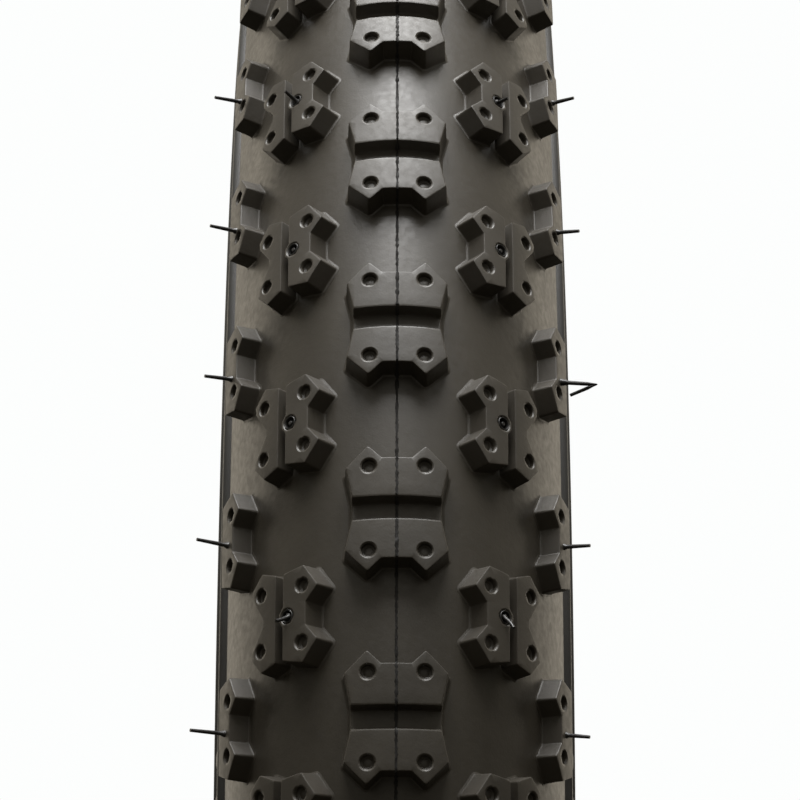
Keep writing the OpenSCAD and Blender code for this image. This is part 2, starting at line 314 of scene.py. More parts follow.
def woven(name, dark, light, period, angles, depth, roughness):
    """Rubbered cord or fabric: threads of one period at each of the angles to the length of the tyre."""
    mat, nodes, links, shader = material(name)
    place = nodes.new("ShaderNodeTexCoord").outputs["UV"]
    threads = None
    for angle in angles:
        turn = nodes.new("ShaderNodeMapping")
        turn.inputs["Rotation"].default_value = (0, 0, math.radians(angle))
        links.new(place, turn.inputs["Vector"])
        wave = nodes.new("ShaderNodeTexWave")
        wave.inputs["Scale"].default_value = 2 * math.pi / (WAVE_SPEED * period)
        wave.inputs["Distortion"].default_value = 0.6
        wave.inputs["Detail Scale"].default_value = 0.4
        links.new(turn.outputs["Vector"], wave.inputs["Vector"])
        if threads is None:
            threads = wave.outputs["Fac"]
        else:
            both = nodes.new("ShaderNodeMath")
            both.operation = "MULTIPLY"
            links.new(threads, both.inputs[0])
            links.new(wave.outputs["Fac"], both.inputs[1])
            threads = both.outputs["Value"]
    links.new(ramp(nodes, links, threads, (0.05, dark), (0.8, light)), shader.inputs["Base Color"])
    cloud = noise(nodes, links, place, 60, 3)
    links.new(spread(nodes, links, cloud, roughness - 0.08, roughness + 0.08), shader.inputs["Roughness"])
    links.new(bump(nodes, links, threads, depth), shader.inputs["Normal"])
    return mat


def steel(name):
    """Bronze-coated bead wire, drawn along its length."""
    mat, nodes, links, shader = material(name)
    place = nodes.new("ShaderNodeTexCoord").outputs["Object"]
    streak = noise(nodes, links, place, 400, 3)
    colour = ramp(nodes, links, streak, (0.3, (0.42, 0.30, 0.16)), (0.7, (0.55, 0.42, 0.25)))
    links.new(colour, shader.inputs["Base Color"])
    links.new(spread(nodes, links, streak, 0.25, 0.4), shader.inputs["Roughness"])
    shader.inputs["Metallic"].default_value = 1.0
    return mat


TREAD = rubber("tread_rubber", (0.031, 0.0265, 0.0195), (0.042, 0.036, 0.027), 0.5)
SMOOTH_TREAD = rubber("base_rubber", (0.030, 0.0255, 0.0185), (0.040, 0.0345, 0.0255), 0.46)
SIDE = rubber("side_rubber", (0.017, 0.0165, 0.015), (0.024, 0.023, 0.021), 0.46)
# Near-black rubber for the hairs; on the vent plugs it is painted shade of their sunk well.
HAIR_AND_PLUG_SHADE = rubber("hair_and_plug_shade_rubber", (0.010, 0.0095, 0.009), (0.016, 0.015, 0.014), 0.42)
# Near-black rubber for the parting line: painted shade along its ridge and the creases beside it.
FLASH_PAINTED_SHADE = rubber("flash_painted_shade", (0.006, 0.0055, 0.005), (0.012, 0.011, 0.010), 0.6)
CORD_COLOURS = (0.030, 0.027, 0.022), (0.075, 0.066, 0.050)
CHAFER_COLOURS = (0.012, 0.012, 0.011), (0.032, 0.031, 0.029)
CORD = woven("casing_cord", *CORD_COLOURS, 0.75 * MM, [45], 0.12 * MM, 0.62)
PLY = woven("outer_ply_cord", *CORD_COLOURS, 0.75 * MM, [-45], 0.12 * MM, 0.62)
CHAFER = woven("chafer_fabric", *CHAFER_COLOURS, 1.0 * MM, [45, -45], 0.08 * MM, 0.58)
WRAP = rubber("bead_rubber", (0.015, 0.015, 0.014), (0.022, 0.022, 0.02), 0.5)
STEEL = steel("bead_wire")


# ---- Outlines of the blocks, as (across, along) in the plane of the row ----

def two_ends(points):
    """An outline from the points of its one end, repeated at the other end."""
    return points + [(u, -v) for u, v in reversed(points)]


def rounded(points, radius, turns=3):
    """A closed outline with its corners rounded."""
    out = []
    for i, p in enumerate(points):
        p, before, after = (np.array(q, float) for q in (p, points[i - 1], points[(i + 1) % len(points)]))
        back, ahead = before - p, after - p
        half = math.acos(np.dot(back, ahead) / np.linalg.norm(back) / np.linalg.norm(ahead)) / 2
        reach = min(radius / math.tan(half), 0.45 * np.linalg.norm(back), 0.45 * np.linalg.norm(ahead))
        start = p + back / np.linalg.norm(back) * reach
        end = p + ahead / np.linalg.norm(ahead) * reach
        for k in range(turns + 1):
            s = k / turns
            out.append((1 - s) ** 2 * start + 2 * s * (1 - s) * p + s * s * end)
    return out


def anticlockwise(points):
    """The outline, turned round if it runs clockwise."""
    twice_area = sum(p[0] * q[1] - q[0] * p[1] for p, q in zip(points, points[1:] + points[:1]))
    return points if twice_area > 0 else points[::-1]


def divided(points, longest, cuts):
    """An outline whose edges are cut where they cross each height in cuts, and then every longest."""
    out = []
    for p, q in zip(points, points[1:] + points[:1]):
        marks = {0.0}
        for cut in cuts:
            if (p[1] - cut) * (q[1] - cut) < 0:
                marks.add((cut - p[1]) / (q[1] - p[1]))
        marks = sorted(marks) + [1.0]
        for s0, s1 in zip(marks, marks[1:]):
            n = max(1, math.ceil(np.linalg.norm(q - p) * (s1 - s0) / longest))
            out += [p + (q - p) * (s0 + (s1 - s0) * k / n) for k in range(n)]
    return out


def normals(points):
    """The outward direction at each point of an anticlockwise outline."""
    pts = np.array(points)
    edge = np.roll(pts, -1, 0) - pts
    edge /= np.linalg.norm(edge, axis=1)[:, None]
    mean = edge + np.roll(edge, 1, 0)
    mean /= np.linalg.norm(mean, axis=1)[:, None]
    return np.stack([mean[:, 1], -mean[:, 0]], 1)


def inside(point, loop):
    """Whether a point is inside a closed outline."""
    x, y = point
    hit = False
    for (x0, y0), (x1, y1) in zip(loop, np.roll(loop, -1, 0)):
        if (y0 > y) != (y1 > y) and x < (x1 - x0) * (y - y0) / (y1 - y0) + x0:
            hit = not hit
    return hit


ROW_SPAN = range(-60, 90)       # angles round the section that a row's surface covers


class Row:
    """A row of blocks at an angle round the section. Its own axes are across, along and up."""

    def __init__(self, angle, shift):
        self.shift = shift
        self.foot = at(angle, base_t(angle))
        self.tilt = math.radians(tilt(angle))
        self.tables = {}

    def surface(self, u, v, lift):
        """How high the surface that is lift above the tread base is over (u, v) of the row's plane."""
        if lift not in self.tables:
            points = np.array([at(a, base_t(a) + lift) for a in ROW_SPAN]) - self.foot
            c, s = math.cos(self.tilt), math.sin(self.tilt)
            self.tables[lift] = points[:, 1] * c - points[:, 0] * s, points[:, 0] * c + points[:, 1] * s
        across, height = self.tables[lift]
        return np.interp(u, across, height) - v * v * math.cos(self.tilt) / (2 * self.foot[0])

    def place(self, local, turn, side):
        """Moves points (across, along, up) of the row to a turn round the wheel, in radians."""
        u, v, w = local.T
        c, s = math.cos(self.tilt), math.sin(self.tilt)
        radius = self.foot[0] - u * s + w * c
        across = self.foot[1] + u * c + w * s
        return np.stack([
            radius * math.cos(turn) - v * math.sin(turn),
            side * across,
            radius * math.sin(turn) + v * math.cos(turn),
        ], 1)

    def turns(self, every=1):
        """The turn of each block, or of one block in every few."""
        return [2 * math.pi * (i + self.shift) / PITCHES for i in range(0, PITCHES, every)]


CENTRE_ROW = Row(0, 0)
MID_ROW = Row(33, -0.475)
SHOULDER_ROW = Row(54.5, 0.056)

EDGE_R = 0.22 * MM      # rounding of the blocks' top edges
FLARE = 0.4 * MM        # fillet at the blocks' feet
DRAFT = 0.15 * MM       # how much wider a block is at its foot than at its top
SINK = 0.15 * MM        # how far the foot goes into the tread base
CORNER_R = 0.4 * MM     # rounding of the blocks' corners
EDGE_L = 1.5 * MM       # longest edge of a block's outline
GRID = 2.2 * MM         # spacing of the points inside a block's top
CLEAR = 0.75 * MM       # how far those keep from its edges, holes and groove
LIP = 0.14 * MM         # rounding of a dimple's rim
GUARD = 0.22 * MM       # flat band round each dimple
HOLE_SIDES = 18
MIDDLE = 0.85           # depth of a dimple's raised middle, as a share of its depth
NEAR = 0.12 * MM        # how near a point of the outline is to the groove's line that it is on
TINY = 1e-9


def hole_loops(radius, depth):
    """The rings of a round dimple with a soft lip and a slightly raised middle, as (radius, depth)."""
    return [(radius + LIP, 0), (radius, LIP), (radius * 0.92, depth * 0.8), (radius * 0.6, depth)]


def circle(u, v, radius, start=0.0):
    """Points round (u, v), from start of a step on."""
    turns = [2 * math.pi * (k + start) / HOLE_SIDES for k in range(HOLE_SIDES)]
    return [(u + radius * math.cos(turn), v + radius * math.sin(turn)) for turn in turns]


def block_mesh(row, height, outline, holes, groove=None):
    """One block in its row's axes: vertices (across, along, up) and faces. groove lists (along, depth)."""
    cuts = [s * v for v, _ in groove for s in (-1, 1)] if groove else []
    loop = anticlockwise(divided(rounded(outline, CORNER_R), EDGE_L, cuts))
    out = normals(loop)
    loop = np.array(loop)

    def depth(v):
        if not groove:
            return np.zeros_like(v)
        return np.interp(np.abs(v), [g[0] for g in reversed(groove)], [g[1] for g in reversed(groove)])

    sunk = depth(loop[:, 1])
    verts, faces = [], []

    def add_ring(offset, from_foot, below_top):
        p = loop + out * offset
        if from_foot is not None:
            w = row.surface(p[:, 0], p[:, 1], 0.0) + from_foot
        else:
            w = row.surface(p[:, 0], p[:, 1], height) - sunk - below_top
        start = len(verts)
        verts.extend(np.column_stack([p, w]))
        return list(range(start, start + len(loop)))

    rings = [
        add_ring(DRAFT + FLARE, -SINK, None),
        add_ring(DRAFT + FLARE, 0.02 * MM, None),
        add_ring(DRAFT + 0.3 * FLARE, 0.3 * FLARE, None),
        add_ring(DRAFT, FLARE, None),
        add_ring(0, None, EDGE_R),
        add_ring(-0.3 * EDGE_R, None, 0.3 * EDGE_R),
        add_ring(-EDGE_R, None, 0),
    ]
    n = len(loop)
    for low, high in zip(rings, rings[1:]):
        for i in range(n):
            j = (i + 1) % n
            faces.append((low[i], low[j], high[j], high[i]))
    faces.append(tuple(reversed(rings[0])))
    cap(verts, faces, row, height, rings[-1], sunk, holes, groove, depth)
    return np.array(verts), faces


def cap(verts, faces, row, height, rim, sunk, holes, groove, depth):
    """The top of a block inside the ring rim, with holes of (across, along, radius, depth)."""
    points = [tuple(verts[i][:2]) for i in rim]
    ids = list(rim)
    edges = [(i, (i + 1) % len(rim)) for i in range(len(rim))]
    border = np.array(points)

    def add(u, v, drop):
        ids.append(len(verts))
        points.append((u, v))
        verts.append(np.array([u, v, row.surface(u, v, height) - drop]))
        return len(points) - 1

    hole_rings = []
    for u, v, radius, hole_depth in holes:
        rim_r = hole_loops(radius, hole_depth)[0][0]
        ring = [add(x, y, 0) for x, y in circle(u, v, rim_r)]
        edges += list(zip(ring, ring[1:] + ring[:1]))
        hole_rings.append(ring)
        for x, y in circle(u, v, rim_r + GUARD, 0.5):
            if inside((x, y), border) and min(math.dist((x, y), q) for q in border) > 0.5 * GUARD:
                add(x, y, 0)

    for along, drop in groove or []:
        for sign in (-1, 1):
            ends = [k for k in range(len(rim)) if abs(points[k][1] - sign * along) < NEAR
                    and abs(sunk[k] - drop) < TINY]
            left = min(ends, key=lambda k: points[k][0])
            right = max(ends, key=lambda k: points[k][0])
            (u0, v0), (u1, v1) = points[left], points[right]
            count = max(2, round((u1 - u0) / GRID))
            chain = [left]
            for k in range(1, count):
                s = k / count
                chain.append(add(u0 + (u1 - u0) * s, v0 + (v1 - v0) * s, drop))
            chain.append(right)
            edges += list(zip(chain, chain[1:]))

    low, high = border.min(0), border.max(0)
    for i in range(int((high[0] - low[0]) / GRID) + 1):
        for j in range(int((high[1] - low[1]) / GRID) + 1):
            u, v = low[0] + (i + 0.5) * GRID, low[1] + (j + 0.5) * GRID
            away = min(math.dist((u, v), p) for p in border)
            if away < CLEAR or not inside((u, v), border):
                continue
            if any(math.dist((u, v), h[:2]) < h[2] + CLEAR for h in holes):
                continue
            if groove and any(abs(abs(v) - g[0]) < CLEAR for g in groove):
                continue
            add(u, v, float(depth(np.array(v))))

    flat, _, triangles, *_ = geometry.delaunay_2d_cdt([Vector(p) for p in points], edges, [], 0, TINY)
    assert len(flat) == len(points), "the top of a block has crossing edges"
    for triangle in triangles:
        middle = sum((flat[i] for i in triangle), Vector((0, 0))) / 3
        if not inside(middle, border) or any(math.dist(middle, h[:2]) < h[2] for h in holes):
            continue
        a, b, c = (flat[i] for i in triangle)
        turn = (b - a).cross(c - a)
        order = triangle if turn > 0 else triangle[::-1]
        faces.append(tuple(ids[i] for i in order))

    for (u, v, radius, hole_depth), ring in zip(holes, hole_rings):
        rings = [[ids[i] for i in ring]]
        for r, drop in hole_loops(radius, hole_depth)[1:]:
            start = len(verts)
            for x, y in circle(u, v, r):
                verts.append(np.array([x, y, row.surface(x, y, height) - drop]))
            rings.append(list(range(start, start + HOLE_SIDES)))
        for outer, inner in zip(rings, rings[1:]):
            for k in range(HOLE_SIDES):
                m = (k + 1) % HOLE_SIDES
                faces.append((outer[k], outer[m], inner[m], inner[k]))
        verts.append(np.array([u, v, row.surface(u, v, height) - hole_depth * MIDDLE]))
        for k in range(HOLE_SIDES):
            faces.append((rings[-1][k], rings[-1][(k + 1) % HOLE_SIDES], len(verts) - 1))


def all_round(name, row, local, faces, side):
    """Copies a shape of a row all round the tyre, on one side."""
    count = len(local)
    verts, every_face = [], []
    for i, turn in enumerate(row.turns()):
        verts.append(row.place(local, turn, side))
        for face in faces:
            moved = tuple(v + i * count for v in face)
            every_face.append(moved if side > 0 else moved[::-1])
    obj = new_object(name, np.concatenate(verts), every_face, sharp=35)
    flat = obj.modifiers.new("flat_faces", "WEIGHTED_NORMAL")
    flat.keep_sharp = True
    return obj


def dimple(u, v):
    """Two dimples of a block, one near each end, from their place in mm."""
    return [(u * MM, s * v * MM, DIMPLE_D / 2, DIMPLE_DEPTH) for s in (-1, 1)]


def in_mm(points):
    """Points given in mm, in metres."""
    return [(u * MM, v * MM) for u, v in points]


def groove_profile():
    """The groove across a centre block, from its lip to its floor, as (along, depth)."""
    wall = GROOVE_W / 2
    return [
        (wall + 0.35 * MM, 0.0),
        (wall + 0.1 * MM, 0.1 * MM),
        (wall, 0.35 * MM),
        (wall - 0.2 * MM, GROOVE_D - 0.35 * MM),
        (wall - 0.5 * MM, GROOVE_D),
    ]


def centre_blocks():
    notch, peak, corner, waist = (2.4, 8.5), (4.6, 10.6), (8.15, 7), (7.1, 2.05)
    one_side = two_ends([notch, peak, corner, waist])
    other_side = [(-u, v) for u, v in reversed(one_side)]
    holes = dimple(4.45, 7.1) + dimple(-4.45, 7.1)
    local, faces = block_mesh(CENTRE_ROW, CENTRE_H, in_mm(one_side + other_side), holes, groove_profile())
    block = all_round("centre_tread_blocks", CENTRE_ROW, local, faces, 1)
    finish_piece(block, "centre_blocks", TREAD)


VENT_WALL = 0.55 * MM   # rubber round the vent's well, where it bulges into the slit
WELL_DEPTH = 1.1 * MM
SLIT_W = 1.6            # between the halves of a block of the intermediate rows, in mm like the outlines


def inner_blocks(name, side):
    vent, bulge_r = VENT_U / MM, (VENT_D / 2 + VENT_WALL) / MM
    half = math.degrees(math.acos((-SLIT_W / 2 - vent) / bulge_r))
    bulge = [(vent + bulge_r * cos_d(a), bulge_r * sin_d(a)) for a in (half / 3, half)]
    slit_end, end, tip, notch = (-SLIT_W / 2, 7.15), (-4.8, 8), (-7.5, 4.4), (-5.4, 1.9)
    outline = two_ends([*bulge, slit_end, end, tip, notch])
    well = [(VENT_U, 0, VENT_D / 2 - 0.15 * MM, WELL_DEPTH)]
    local, faces = block_mesh(MID_ROW, MID_H, in_mm(outline), dimple(-4.6, 4.65) + well)
    block = all_round("inner_tread_blocks_" + name, MID_ROW, local, faces, side)
    finish_piece(block, "inner_blocks_" + name, TREAD)


def outer_blocks(name, side):
    slit_end, end, tip, flank, notch = (SLIT_W / 2, 7.2), (4.1, 8.2), (6.6, 5.6), (6.4, 4.2), (3.8, 0.7)
    outline = two_ends([slit_end, end, tip, flank, notch])
    local, faces = block_mesh(MID_ROW, MID_H, in_mm(outline), dimple(4.2, 4.6))
    block = all_round("outer_tread_blocks_" + name, MID_ROW, local, faces, side)
    finish_piece(block, "outer_blocks_" + name, TREAD)


def shoulder_blocks(name, side):
    corner, end, tip, notch = (3.6, 7), (-0.45, 8.3), (-2.9, 4.6), (-0.9, 2.2)
    outline = two_ends([corner, end, tip, notch])
    local, faces = block_mesh(SHOULDER_ROW, SHOULDER_H, in_mm(outline), dimple(0, 4.4))
    block = all_round("shoulder_tread_blocks_" + name, SHOULDER_ROW, local, faces, side)
    finish_piece(block, "shoulder_blocks_" + name, TREAD)


def lathe(line, sides=20):
    """Turns a line of (radius, height) round its own upright axis. It starts and ends on the axis."""
    verts = [(0, 0, line[0][1])]
    for r, h in line[1:-1]:
        verts += [(r * cos_d(360 * k / sides), r * sin_d(360 * k / sides), h) for k in range(sides)]
    verts.append((0, 0, line[-1][1]))
    faces = [(0, 1 + (k + 1) % sides, 1 + k) for k in range(sides)]
    rings = len(line) - 2
    for i in range(rings - 1):
        for k in range(sides):
            m = (k + 1) % sides
            low, high = 1 + i * sides, 1 + (i + 1) * sides
            faces.append((low + k, low + m, high + m, high + k))
    last = 1 + (rings - 1) * sides
    faces += [(last + k, last + (k + 1) % sides, len(verts) - 1) for k in range(sides)]
    return np.array(verts), faces


def vent_bosses(name, side):
    """The round vent plug in the well of each inner block: a ring wall, a sunk ring and a middle post. Its
    near-black rubber is painted shade of the well.
    """
    proud, gap = 0.05 * MM, 0.19 * MM
    top = MID_ROW.surface(VENT_U, 0.0, MID_H) + proud
    out = (VENT_D / 2 - gap) / MM
    foot, ring_floor = -1.25, -0.95
    wall = [(0, foot), (out, foot), (out, -0.12), (out - 0.08, 0)]
    ring = [(1.0, 0), (0.94, -0.1), (0.9, ring_floor), (0.44, ring_floor)]
    post = [(0.4, -0.25), (0.3, -0.12), (0, -0.1)]
    local, faces = lathe(in_mm(wall + ring + post))
    local = local + np.array([VENT_U, 0, top])
    boss = all_round("vent_plugs_" + name, MID_ROW, local, faces, side)
    # The plug takes the near-black hair rubber: painted shade of the well.
    finish_piece(boss, "vent_bosses_" + name, HAIR_AND_PLUG_SHADE)


# ---- Rings of rubber ----

def tread_base():
    """The smooth rubber under the blocks, whose edge rounds down to the sidewall."""
    outside = [at(a, base_t(a)) for a in steps(0, TREAD_A - 3, 2)]
    edge_t = base_t(TREAD_A)
    lip = [at(TREAD_A - back, edge_t - down * MM) for back, down in ((1.6, 0.03), (0.5, 0.25), (0, 0.6))]
    foot = [at(a, 0) for a in steps(TREAD_A, 0, 4)]
    line = mirrored(outside[1:] + lip) + outside + lip + foot + mirrored(foot[:-1])
    obj = revolve("tread_base_ring", line, segments=384)
    finish_piece(obj, "tread_base", SMOOTH_TREAD)


def raised_ring(a, half_w, h):
    """The profile of a raised ring on the sidewall, half_w degrees to each side of a and h high."""
    slope = [(0.75, 0.3), (0.5, 0.85), (0.25, 1)]
    rise = [at(a - half_w * off, side_out(a) + h * share) for off, share in slope]
    fall = [at(a + half_w * off, side_out(a) + h * share) for off, share in reversed(slope)]
    start, end = a - half_w, a + half_w
    return [at(start, side_out(start))] + rise + fall + [at(end, side_out(end))]


def sidewall(name, side):
    """The sidewall: a groove beside the tread, a ring at its edge, a thin ring and the rim ring."""
    groove = ((0, 0.5), (0.5, 0.4), (1.1, 0.6))
    thin_ring_a, thin_ring_h = 94.5, 0.25 * MM
    outside = [at(TREAD_A + past, SIDE_T * share) for past, share in groove]
    outside += raised_ring(EDGE_RING_A, 1.2, RING_H)
    outside += [at(a, side_out(a)) for a in steps(EDGE_RING_A + 1.8, thin_ring_a - 2.5, 1.5)]
    outside += raised_ring(thin_ring_a, 1.0, thin_ring_h)
    outside += [at(thin_ring_a + 2.2, side_out(thin_ring_a + 2.2))]
    outside += raised_ring(RIM_RING_A, 2.5, RING_H)
    outside += [at(a, side_out(a)) for a in steps(RIM_RING_A + 4, CHAFER_TOP, 2)]
    inner = [at(a, bead_gap(a) + 2 * PLY_T) for a in steps(CHAFER_TOP, TURNUP_END, 3)]
    inner += [at(a, 0) for a in steps(TURNUP_END, TREAD_A, 4)]
    obj = revolve("sidewall_ring_" + name, outside + inner, side)
    finish_piece(obj, "sidewall_" + name, SIDE)


def chafer(name, side):
    """The fabric strip round the foot of the bead, with a rounded heel and a pointed toe."""
    heel = at(BEAD_A, side_out(BEAD_A))
    toe = round_bead(TOE_A, FOOT_R)[1] + CHAFER_T
    heel_r = 1.2 * MM
    outside = [round_bead(a, FOOT_R) for a in steps(180 - BEAD_SLOPE, TOE_A - 14, 6)]
    outside += [(SEAT_R + 0.9 * MM, toe - 0.15 * MM), (SEAT_R + 0.35 * MM, toe), (SEAT_R, toe + 0.5 * MM)]
    outside += [(SEAT_R, heel[1] - heel_r)]
    outside += [(SEAT_R + heel_r * (1 - cos_d(a)), heel[1] - heel_r * (1 - sin_d(a))) for a in (30, 60, 90)]
    outside += [at(a, side_out(a)) for a in steps(BEAD_A - 4, CHAFER_TOP, 3)]
    inner = [at(a, bead_gap(a) + 2 * PLY_T) for a in steps(CHAFER_TOP, BEAD_A, 4)][:-1]
    inner += [round_bead(a, PLIES_R) for a in steps(360 - BEAD_SLOPE, 180 - BEAD_SLOPE, 10)]
    obj = revolve("chafer_ring_" + name, outside[::-1] + inner[::-1], side, sharp=60)
    finish_piece(obj, "chafer_" + name, CHAFER)


def casing():
    """The inner ply, seen inside the tyre between the beads. It wraps each bead and comes up outside it."""
    inner = [at(a, -2 * PLY_T) for a in steps(0, BEAD_A, 3)]
    inner += [round_bead(a, PLIES_R) for a in steps(180 - BEAD_SLOPE, 360 - BEAD_SLOPE, 10)][1:]
    outer = [round_bead(a, WRAP_R + PLY_T) for a in steps(360 - BEAD_SLOPE, 180 - BEAD_SLOPE, 10)]
    outer += [at(a, -PLY_T) for a in steps(BEAD_A, 0, 3)][1:]
    line = mirrored(inner[1:]) + inner + outer + mirrored(outer[:-1])
    obj = revolve("casing_inner_ply", line[::-1], sharp=60)
    finish_piece(obj, "inner_ply", CORD)


def sidewall_bars(name, side):
    """Plain raised bars in groups, with soft edges, where a tyre's sizes would be moulded."""
    groups, bars, half_arc, pitch = 6, 9, 0.35, 1.9
    columns = [(-1, -0.1), (-0.85, 0.7), (-0.5, 1), (0.5, 1), (0.85, 0.7), (1, -0.1)]
    rows = steps(80.6, 89.4, 2.2)
    n = len(columns)
    verts, faces = [], []
    for group in range(groups):
        for bar in range(bars):
            middle = group * 360 / groups + bar * pitch
            start = len(verts)
            for i, a in enumerate(rows):
                end = 0.25 if i in (0, len(rows) - 1) else 1
                for x, h in columns:
                    r, y = at(a, side_out(a) + BAR_H * (h * end if h > 0 else h))
                    turn = math.radians(middle + x * half_arc)
                    verts.append((r * math.cos(turn), side * y, r * math.sin(turn)))
            firsts = [start + i * n for i in range(len(rows))]
            last = firsts[-1]
            bar_faces = [(low + k, low + k + 1, high + k + 1, high + k)
                         for low, high in zip(firsts, firsts[1:]) for k in range(n - 1)]
            bar_faces.append(tuple(range(start + n - 1, start - 1, -1)))
            bar_faces.append(tuple(range(last, last + n)))
            bar_faces.append(tuple(firsts + [first + n - 1 for first in reversed(firsts)]))
            faces += [face if side > 0 else face[::-1] for face in bar_faces]
    obj = new_object("sidewall_marks_" + name, verts, faces, sharp=50)
    finish_piece(obj, "sidewall_bars_" + name, SIDE)


# ---- Hairs and flash ----

OBLIQUE = Vector((0.3, 0.2, 0.93))      # what the sides of every hair are squared to


def tube(points, radii, sides=7):
    """A closed tube along points."""
    verts, faces = [], []
    for i, p in enumerate(points):
        ahead = (points[min(i + 1, len(points) - 1)] - points[max(i - 1, 0)]).normalized()
        across = ahead.cross(OBLIQUE).normalized()
        up = ahead.cross(across)
        for k in range(sides):
            turn = 2 * math.pi * k / sides
            verts.append(p + (across * math.cos(turn) + up * math.sin(turn)) * radii[i])
    for i in range(len(points) - 1):
        for k in range(sides):
            m = (k + 1) % sides
            faces.append((i * sides + k, i * sides + m, (i + 1) * sides + m, (i + 1) * sides + k))
    faces.append(tuple(range(sides))[::-1])
    last = (len(points) - 1) * sides
    faces.append(tuple(range(last, last + sides)))
    return verts, faces


HAIR_D = 0.7 * MM       # the CAD model's are 0.55
HAIR_FLARE = 1.9        # how much thicker the foot is
HAIR_SEAT = 0.2 * MM    # how far the foot is sunk in the block
HAIR_POINTS = 8
FOLD_BACK = 0.96        # how much of its length a folded hair comes back inward
FOLD_DOWN = 0.16        # and down

# The hairs at the camera's side of the wheel, by block: length in mm, lean along the tread, where the foot
# is along the block in mm, and the share of the length at which the hair folds back.
SEEN_HAIRS = {
    "left": {
        6: (5.3, -0.29, -2.2, 1), 5: (5.0, -0.15, -2.3, 1), 4: (5.1, -0.15, -1.5, 1),
        3: (5.7, 0.01, -0.5, 1), 2: (6.2, 0.0, -0.6, 1),
    },
    "right": {
        6: (4.3, -0.18, -2.2, 1), 5: (4.4, -0.29, -2.3, 1), 4: (11.8, -0.32, -1.8, 4 / 7),
        3: (4.8, -0.12, -0.5, 1), 2: (4.3, -0.16, -0.6, 1),
    },
}


def hairs(name, node, row, u, height, side, every, length, seed, chosen):
    """Thin rubber hairs, one on every few blocks, leaning at random but for those in chosen."""
    rng = random.Random(seed)
    verts, faces = [], []
    for i, turn in enumerate(row.turns(every)):
        reach = length * rng.uniform(0.45, 1.0)
        lean, bend = rng.uniform(-0.7, 0.2), rng.uniform(-0.2, 0.2)
        start, fold = 0.0, 1.0
        if i in chosen:
            reach, lean, start, fold = chosen[i]
            reach, start, bend = reach * MM, start * MM, 0.0
        foot = row.surface(u, 0.0, height) - HAIR_SEAT
        points = []
        for k in range(HAIR_POINTS):
            share = k / (HAIR_POINTS - 1)
            s, back = min(share, fold), max(share - fold, 0.0)
            along = start + reach * (s * (lean + bend * s) - FOLD_DOWN * back)
            up = foot + reach * (s - FOLD_BACK * back) * math.sqrt(max(0.2, 1 - (lean + bend * s) ** 2))
            side_way = reach * s * s * 0.3 * bend
            points.append(Vector(row.place(np.array([[u + side_way, along, up]]), turn, side)[0]))
        radii = [HAIR_D / 2 * (HAIR_FLARE if k == 0 else 1.08 - 0.04 * k) for k in range(HAIR_POINTS)]
        v, f = tube(points, radii)
        faces += [tuple(x + len(verts) for x in face) for face in f]
        verts += v
    obj = new_object(name, verts, faces, sharp=70)
    finish_piece(obj, node, HAIR_AND_PLUG_SHADE)


def mould_flash():
    """The parting line: a thin ragged ridge that runs over the base and the centre blocks alike. Its
    near-black rubber is painted shade along the ridge and its creases.
    """
    rng = random.Random(7)
    pitch_l = 2 * math.pi * CENTRE_ROW.foot[0] / PITCHES
    notch, wall = 8.5 * MM, GROOVE_W / 2
    key = [
        (-pitch_l / 2, 0), (-notch - DRAFT - FLARE, 0), (-notch - DRAFT, FLARE), (-notch, CENTRE_H - EDGE_R),
        (-notch + EDGE_R, CENTRE_H), (-wall - 0.3 * MM, CENTRE_H), (-wall, CENTRE_H - 0.35 * MM),
        (-wall + 0.4 * MM, CENTRE_H - GROOVE_D), (0, CENTRE_H - GROOVE_D),
    ]
    key += [(-v, w) for v, w in reversed(key[:-1])]
    path = []
    for (v0, w0), (v1, w1) in zip(key, key[1:]):
        n = max(1, round(math.dist((v0, w0), (v1, w1)) / (0.4 * MM)))
        path += [(v0 + (v1 - v0) * k / n, w0 + (w1 - w0) * k / n) for k in range(n)]
    count = len(path)
    half, sunk = 0.34 * MM, 0.06 * MM
    local, faces = [], []
    total = count * PITCHES
    for turn in CENTRE_ROW.turns():
        rows = []
        for k, (v, w) in enumerate(path):
            v1, w1 = path[(k + 1) % count]
            if k + 1 == count:
                v1, w1 = -path[0][0], path[0][1]
            ahead = Vector((v1 - v, w1 - w)).normalized()
            up = Vector((-ahead.y, ahead.x))
            drop = -v * v / (2 * CENTRE_ROW.foot[0])
            ridge = MM * rng.choice((0.08, 0.12, 0.16, 0.22, 0.3))
            drift = MM * rng.uniform(-0.1, 0.1)
            wide = half * rng.uniform(0.6, 1.2)
            for u, h in ((-wide, -sunk), (drift, ridge), (wide, -sunk)):
                rows.append((u, v + up.x * h, w + drop + up.y * h))
        local.append(CENTRE_ROW.place(np.array(rows), turn, 1))
    verts = np.concatenate(local)
    for i in range(total):
        j = (i + 1) % total
        for k in range(3):
            m = (k + 1) % 3
            faces.append((i * 3 + k, i * 3 + m, j * 3 + m, j * 3 + k))
    obj = new_object("parting_line", verts, faces, sharp=40)
    finish_piece(obj, "mould_flash", FLASH_PAINTED_SHADE)


# ---- Build ----

tread_base()
centre_blocks()
casing()
mould_flash()
for name, side in SIDES.items():
    inner_blocks(name, side)
    outer_blocks(name, side)
    shoulder_blocks(name, side)
    vent_bosses(name, side)
    sidewall(name, side)
    sidewall_bars(name, side)
    chafer(name, side)
    hairs("shoulder_hairs_" + name, "shoulder_spews_" + name, SHOULDER_ROW, 0.9 * MM, SHOULDER_H,
          side, 1, 6.2 * MM, 11 + side, SEEN_HAIRS[name])
    hairs("vent_hairs_" + name, "vent_spews_" + name, MID_ROW, VENT_U, MID_H - 0.2 * MM,
          side, 3, 3.2 * MM, 21 + side, {})

for node, finish in (("outer_ply", PLY), ("bead_wrap_left", WRAP), ("bead_wrap_right", WRAP),
                     ("bead_wire_left", STEEL), ("bead_wire_right", STEEL)):
    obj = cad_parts[node]
    obj.data.materials.clear()
    obj.data.materials.append(finish)


# ---- Floor, light and camera ----

